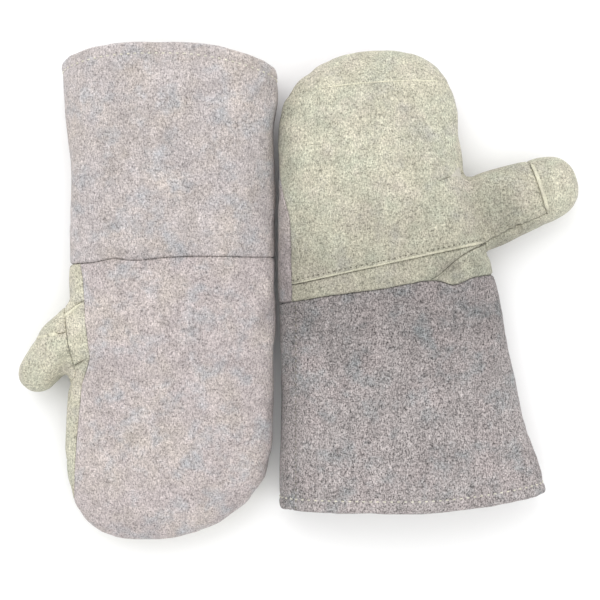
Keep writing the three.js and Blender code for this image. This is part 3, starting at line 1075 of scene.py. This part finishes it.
def ribbon_mesh(mitt, path, widths, height, taper=0.006):
    """A raised fold or cord laid along a path, half round, as wide as given at its two ends."""
    points, normals, tangents = resampled(path, RIBBON_PITCH)
    sides = np.cross(normals, tangents)
    turn = np.arange(RIBBON_CORNERS) * 2 * math.pi / RIBBON_CORNERS
    reach = np.arange(len(points)) * RIBBON_PITCH
    ends = np.minimum(ease(reach, 0, taper), 1 - ease(reach, reach[-1] - taper, reach[-1]))
    uneven = 1 + RIBBON_WOBBLE * noise_at(points, RIBBON_WOBBLE_SIZE, SEED + 8)
    size = (RIBBON_END + (1 - RIBBON_END) * ends) * uneven
    width = np.linspace(*widths, len(points))
    rings = (
        points[:, None]
        + np.cos(turn)[None, :, None] * sides[:, None] * (width / 2 * size)[:, None, None]
        + np.sin(turn)[None, :, None] * normals[:, None] * (height * size)[:, None, None]
    )
    verts, faces = tube_from_rings(rings)
    verts[:, 2] = np.maximum(verts[:, 2], 0)
    return trim_mesh(mitt, verts, faces)


def add_trim(mitt, outer):
    surface = Surface(mitt, outer)

    def add(mesh, label, moves, kind, nodes=()):
        finish_piece(mitt, new_object(f"{mitt.name}_{label}", mesh), moves, kind, nodes)

    heel_xs = np.linspace(*mitt.heel_run, PATH_POINTS["heel"])
    # Cream piping: partly the raw edge's colour, partly painted highlight along the folded edge
    edge = [surface.at(x, mitt.heel_height(x) + HEEL_EDGE) for x in heel_xs]
    piping = ribbon_mesh(mitt, edge, *HEEL_PIPING)
    add(piping, "heel_piping", "wrist", "cream_and_highlight", ["heel_welt"])
    if mitt.heel_run_back:
        xs = np.linspace(*mitt.heel_run_back, PATH_POINTS["heel_back"])
        edge = [surface.at(x, mitt.heel_height(x) + HEEL_EDGE, False) for x in xs]
        piping = ribbon_mesh(mitt, edge, *HEEL_PIPING_BACK)
        add(piping, "heel_piping_back", "wrist", "cream_and_highlight")
    # Dark stitches: partly dark thread, partly painted shadow in the stitch holes
    row = [surface.at(x, mitt.heel_height(x) + HEEL_ROW) for x in heel_xs]
    dots = stitch_mesh(mitt, row, *HEEL_STITCHES)
    add(dots, "heel_stitches", "wrist", "dark_thread_and_shadow")
    # The thumb's cream fold is partly painted highlight along its edge
    for palm, low, high in mitt.welts:
        acrosses = np.linspace(high, low, PATH_POINTS["thumb"])
        line = [mitt.off_thumb(thumb_seam_at(mitt, a, not palm) + WELT_LEAD, a) for a in acrosses]
        line = [surface.at(x, y, palm) for x, y in line]
        welt = ribbon_mesh(mitt, line, *THUMB_PIPING)
        if palm:
            add(welt, "thumb_piping", "thumb root", "cream_and_highlight", ["thumb_welt"])
        else:
            add(welt, "thumb_piping_back", "thumb root", "cream_and_highlight")
    # Painted shadow: a dark thread along each dart stands in for the shade in its groove
    for number, (start, end, _) in enumerate(mitt.darts):
        line = np.linspace(start, end, PATH_POINTS["dart"])
        line = [surface.at(x, y, mitt.palm_up) for x, y in line]
        thread = ribbon_mesh(mitt, line, *DART_SHADOW_THREAD)
        add(thread, f"dart_thread_{number + 1}", "thumb root", "dark_thread_and_shadow")
    # Painted shadow: a dark thread along the gusset seam stands in for the shade of its deep fold
    if mitt.gusset_seam:
        line = [surface.at(x, y) for x, y in mitt.gusset_line(PATH_POINTS["gusset"])]
        thread = ribbon_mesh(mitt, line, *GUSSET_SHADOW_THREAD)
        add(thread, "gusset_shadow_thread", "wrist", "dark_thread_and_shadow")
    cap_xs = np.linspace(*mitt.cap_run, PATH_POINTS["cap"])
    cap = [surface.at(x, mitt.cap_height(x)) for x in cap_xs]
    cord = ribbon_mesh(mitt, cap, *CAP_CORD)
    add(cord, "cap_thread", "hand", "cap_thread")

    def hem_line(x):
        return float(mitt.mouth_height(x)) + HEM_TURN

    angles = np.linspace(0, 2 * math.pi, HEM_POINTS)
    hem = [surface.round(angle, hem_line) for angle in angles]
    stitches = stitch_mesh(mitt, hem, *HEM_STITCHES)
    add(stitches, "hem_stitches", "cuff", "thread", ["hem_thread"])
    low = hem_line(mitt.slit) - SLIT_PAST_HEM
    high = float(mitt.wrist_height(mitt.slit)) - SLIT_SHORT_OF_WRIST
    beside = mitt.slit + SLIT_STITCHES_ASIDE
    slit = [surface.at(beside, y) for y in np.linspace(low, high, SLIT_POINTS)]
    stitches = stitch_mesh(mitt, slit, *SLIT_STITCHES)
    add(stitches, "cuff_seam_stitches", "wrist", "dark_thread_and_shadow")


# Materials: each fabric is a mix of noises on the rest coordinates. Clouds, patches and streaks
# have their sizes in metres, and threads and pits as a share of the grain.


CLOUD_SIZE, PATCH_SIZE, STREAK_SIZE = 0.010, 0.034, 0.0035
THREAD_SIZE, PIT_SIZE = 0.8, 1.3
ALONG, ACROSS, STREAKED = (1.0, 0.4, 0.7), (0.4, 1.0, 0.7), (1, 0.1, 0.6)
FLECK_SHARE, WARP_SHARE, WEFT_SHARE = 1.6, 1.4, 0.6
FIBRE_RANGE = (1.35, 2.25)
PIT_RANGE, PIT_DEPTH = (0.60, 0.76), 0.6
TINT_SHIFTS = (0.0, 3.1, 7.7)
ROUGHNESS_BY_FLECK = (0.3, 0.7, 0.98, 0.84)
CLOUD_BUMP = 0.8
BUMP = {"Strength": 0.5, "Distance": 0.0008}
FINISH = {"Sheen Weight": 0.12, "Sheen Roughness": 0.6, "Specular IOR Level": 0.15}


def node(tree, kind, inputs=None, **settings):
    made = tree.nodes.new(kind)
    for key, value in settings.items():
        setattr(made, key, value)
    for key, value in (inputs or {}).items():
        if isinstance(value, bpy.types.NodeSocket):
            tree.links.new(value, made.inputs[key])
        else:
            made.inputs[key].default_value = value
    return made


def math_node(tree, operation, a, b):
    return node(tree, "ShaderNodeMath", {0: a, 1: b}, operation=operation).outputs[0]


def plus(tree, a, b):
    return math_node(tree, "ADD", a, b)


def times(tree, a, b):
    return math_node(tree, "MULTIPLY", a, b)


def mapped(tree, vector, **settings):
    return node(tree, "ShaderNodeMapping", {"Vector": vector, **settings}).outputs[0]


def noise_node(tree, vector, size, detail=2.0, roughness=0.55):
    inputs = {"Vector": vector, "Scale": 1 / size, "Detail": detail, "Roughness": roughness}
    return node(tree, "ShaderNodeTexNoise", inputs).outputs["Fac"]


def spread(tree, value, low, high, to_low=0.0, to_high=1.0):
    inputs = {"Value": value, "From Min": low, "From Max": high}
    inputs |= {"To Min": to_low, "To Max": to_high}
    return node(tree, "ShaderNodeMapRange", inputs).outputs[0]


def mixed(tree, blend, amount, a, b):
    inputs = {0: amount, 6: a, 7: b}
    return node(tree, "ShaderNodeMix", inputs, data_type="RGBA", blend_type=blend).outputs[2]


def fabric(name, colour, tints, contrast=0.55, rib=0.04, grain=0.0011):
    """Felted heather canvas: light and dark flecks, a faint weave, slow drifts of colour, and painted light
    and shade.
    """
    material = bpy.data.materials.new(name)
    material.use_nodes = True
    tree = material.node_tree
    shader = tree.nodes["Principled BSDF"]
    rest = node(tree, "ShaderNodeAttribute", attribute_name="rest").outputs["Vector"]
    painted_shading = node(tree, "ShaderNodeAttribute", attribute_name="painted_shading").outputs["Fac"]
    long_fibre = mapped(tree, rest, Scale=ALONG)
    cross_fibre = mapped(tree, rest, Scale=ACROSS)
    long_streak = mapped(tree, rest, Scale=STREAKED)
    fleck = noise_node(tree, rest, grain, 3.0, 0.7)
    warp = noise_node(tree, long_fibre, grain * THREAD_SIZE)
    weft = noise_node(tree, cross_fibre, grain * THREAD_SIZE)
    pits = noise_node(tree, cross_fibre, grain * PIT_SIZE, 1.0)
    cloud = noise_node(tree, rest, CLOUD_SIZE, 4.0, 0.65)
    patch = noise_node(tree, rest, PATCH_SIZE)
    streaks = noise_node(tree, long_streak, STREAK_SIZE)
    threads = plus(tree, times(tree, warp, WARP_SHARE), times(tree, weft, WEFT_SHARE))
    fibres = plus(tree, times(tree, fleck, FLECK_SHARE), threads)
    value = spread(tree, fibres, *FIBRE_RANGE, 1 - contrast, 1 + contrast)
    for change, *ends in (
        (pits, *PIT_RANGE, 1.0, 1 - contrast * PIT_DEPTH),
        (cloud, 0.3, 0.7, 0.86, 1.14),
        (patch, 0.35, 0.65, 0.94, 1.06),
        (streaks, 0.35, 0.65, 1 - rib, 1 + rib),
    ):
        value = times(tree, value, spread(tree, change, *ends))
    # Painted light and shade, stored on the mesh, darkens or lightens the colour
    value = times(tree, value, painted_shading)
    shade = (*colour, 1)
    for (tint, size, low, high), shift in zip(tints, TINT_SHIFTS, strict=False):
        moved = mapped(tree, rest, Location=(shift, shift, shift))
        amount = spread(tree, noise_node(tree, moved, size, 3.0, 0.6), low, high)
        shade = mixed(tree, "MIX", amount, shade, (*tint, 1))
    grey = node(tree, "ShaderNodeCombineColor", dict.fromkeys(("Red", "Green", "Blue"), value))
    shade = mixed(tree, "MULTIPLY", 1.0, shade, grey.outputs[0])
    tree.links.new(shade, shader.inputs["Base Color"])
    rough = spread(tree, fleck, *ROUGHNESS_BY_FLECK)
    tree.links.new(rough, shader.inputs["Roughness"])
    height = plus(tree, fibres, times(tree, cloud, CLOUD_BUMP))
    bump = node(tree, "ShaderNodeBump", {"Height": height, **BUMP})
    tree.links.new(bump.outputs[0], shader.inputs["Normal"])
    for socket, value in FINISH.items():
        shader.inputs[socket].default_value = value
    return material


# Blotches of another tint: its colour, their size, and the noise values they fade in between
GREY_TINTS = [
    ((0.455, 0.405, 0.375), 0.030, 0.42, 0.70),
    ((0.385, 0.385, 0.40), 0.018, 0.50, 0.75),
]
OLIVE_TINTS = [
    ((0.450, 0.458, 0.366), 0.030, 0.42, 0.70),
    ((0.500, 0.462, 0.386), 0.022, 0.50, 0.75),
    ((0.385, 0.375, 0.335), 0.026, 0.55, 0.80),
]
DARK_TINTS = [
    ((0.345, 0.305, 0.30), 0.030, 0.42, 0.70),
    ((0.26, 0.27, 0.275), 0.018, 0.50, 0.75),
]
CREAM_TINTS = [((0.60, 0.57, 0.46), 0.008, 0.4, 0.7)]
SHADE_TINTS = [((0.28, 0.26, 0.20), 0.003, 0.4, 0.7)]
COTTON_TINTS = [((0.56, 0.53, 0.46), 0.030, 0.4, 0.7)]

FABRICS = {
    "grey": ("canvas_grey", (0.44, 0.39, 0.385), GREY_TINTS),
    "olive": ("canvas_olive", (0.495, 0.472, 0.374), OLIVE_TINTS),
    "left_cuff": ("canvas_grey_light", (0.44, 0.40, 0.395), GREY_TINTS, 0.55, 0.05),
    "right_cuff": ("canvas_grey_dark", (0.32, 0.292, 0.287), DARK_TINTS, 0.85, 0.08),
    # Cream edges: partly the raw edge's colour, partly painted highlight
    "cream_and_highlight": ("seam_cream", (0.68, 0.66, 0.51), CREAM_TINTS, 0.2),
    "thread": ("thread_cream", (0.68, 0.66, 0.57), CREAM_TINTS, 0.2),
    "cap_thread": ("thread_pale_olive", (0.66, 0.64, 0.50), CREAM_TINTS, 0.35),
    # Dark thread, partly painted shadow in seams, grooves and stitch holes
    "dark_thread_and_shadow": ("thread_dark_and_painted_shadow", (0.16, 0.15, 0.11), SHADE_TINTS, 0.2),
    "lining": ("lining_cotton", (0.62, 0.60, 0.52), COTTON_TINTS, 0.10, 0.04, 0.0009),
}
MATERIALS = {key: fabric(*settings) for key, settings in FABRICS.items()}

CANVAS_PIECES = {
    "palm_panel": ("thumb root", "olive", ["palm_panel", "thumb_palm_panel"]),
    "fingertip_cap": ("hand", "olive", ["fingertip_cap"]),
    "heel_band": ("wrist", "olive", ["heel_band"]),
    "heel_gusset": ("wrist", "olive", []),
    "back_panel": ("wrist", "grey", ["back_panel"]),
    "thumb_gusset": ("thumb root", "olive", ["thumb_gusset"]),
    "thumb_tip_cap": ("thumb root", "olive", ["thumb_tip_cap"]),
    "cuff_shell": ("wrist", "cuff", ["cuff_shell"]),
}
LINER_PIECES = {
    "liner": ("wrist", ["hand_lining", "hand_batting", "cuff_lining", "cuff_batting"]),
    "thumb_liner": ("thumb root", ["thumb_lining", "thumb_batting"]),
}


# Studio


def add_floor():
    mesh = bpy.data.meshes.new("floor")
    corners = [(x * FLOOR_SIZE, y * FLOOR_SIZE, 0) for x, y in ((-1, -1), (1, -1), (1, 1), (-1, 1))]
    mesh.from_pydata(corners, [], [(0, 1, 2, 3)])
    floor = new_object("floor", mesh)
    material = bpy.data.materials.new("paper")
    material.use_nodes = True
    shader = material.node_tree.nodes["Principled BSDF"]
    shader.inputs["Base Color"].default_value = PAPER
    shader.inputs["Roughness"].default_value = 1.0
    mesh.materials.append(material)


def add_lamp(name, place, size, power):
    lamp = bpy.data.lights.new(name, "AREA")
    lamp.shape, lamp.size, lamp.energy = "SQUARE", size, power
    obj = bpy.data.objects.new(name, lamp)
    obj.location = place
    obj.rotation_euler = (-Vector(place)).to_track_quat("-Z", "Y").to_euler()
    bpy.context.scene.collection.objects.link(obj)


def add_studio():
    add_floor()
    world = bpy.data.worlds.new("studio")
    world.use_nodes = True
    background = world.node_tree.nodes["Background"]
    background.inputs["Color"].default_value = (1, 1, 1, 1)
    background.inputs["Strength"].default_value = WORLD_STRENGTH
    bpy.context.scene.world = world
    add_lamp("key", *KEY_LAMP)
    add_lamp("fill", *FILL_LAMP)
    bpy.context.scene.view_settings.view_transform = "Standard"
    camera = bpy.data.objects.new("camera", bpy.data.cameras.new("camera"))
    camera.location = (CAMERA_X, CAMERA_Y, CAMERA_HEIGHT)
    camera.data.lens = CAMERA_LENS
    bpy.context.scene.collection.objects.link(camera)
    bpy.context.scene.camera = camera


def build():
    for mitt in MITTS:
        outer, names, liner = make_surfaces(mitt)
        add_canvas(mitt, outer, names)
        add_liner(mitt, liner)
        add_trim(mitt, outer)
    add_studio()


build()
